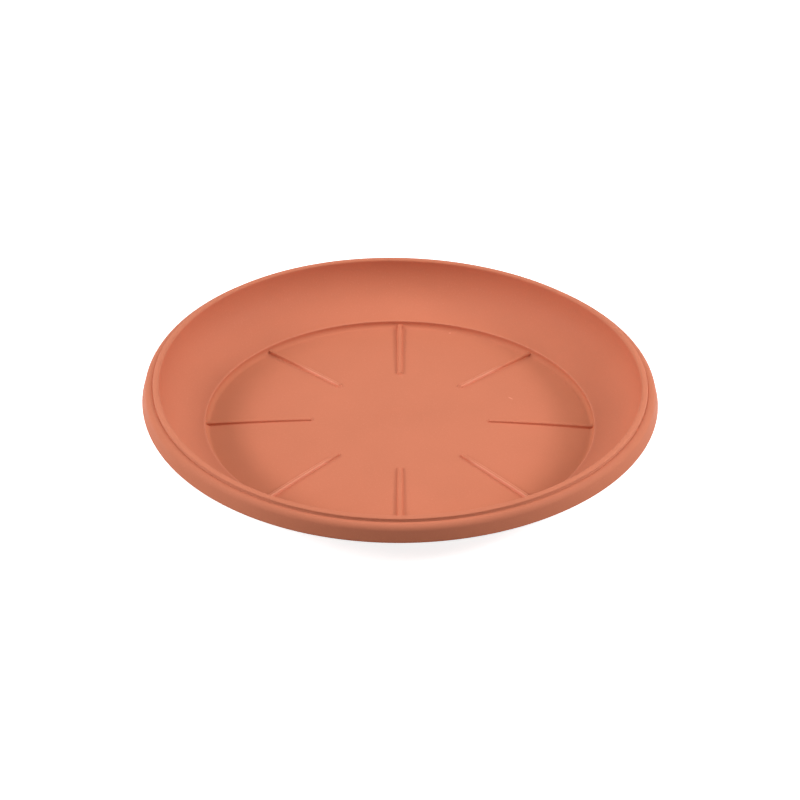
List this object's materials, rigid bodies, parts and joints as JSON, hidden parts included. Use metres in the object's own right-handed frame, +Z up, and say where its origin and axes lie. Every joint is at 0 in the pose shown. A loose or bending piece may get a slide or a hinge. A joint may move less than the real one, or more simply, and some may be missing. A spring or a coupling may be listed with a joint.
{
  "type": "plant saucer",
  "caption": "Round shallow plastic plant saucer with a hollow curved wall, a turned-down rim, a step round the domed floor and raised radial ribs.",
  "frame": {"origin": "middle of the foot ring, on the ground", "axes": "+Z up along the saucer's axis, out of its open side; +X along one of the ribs"},
  "size_m": [0.3, 0.3, 0.0335],
  "materials": {
    "saucer": "satin moulded plastic, terracotta coloured through"
  },
  "bodies": {
    "root": {"saucer": "saucer"}
  },
  "joints": []
}
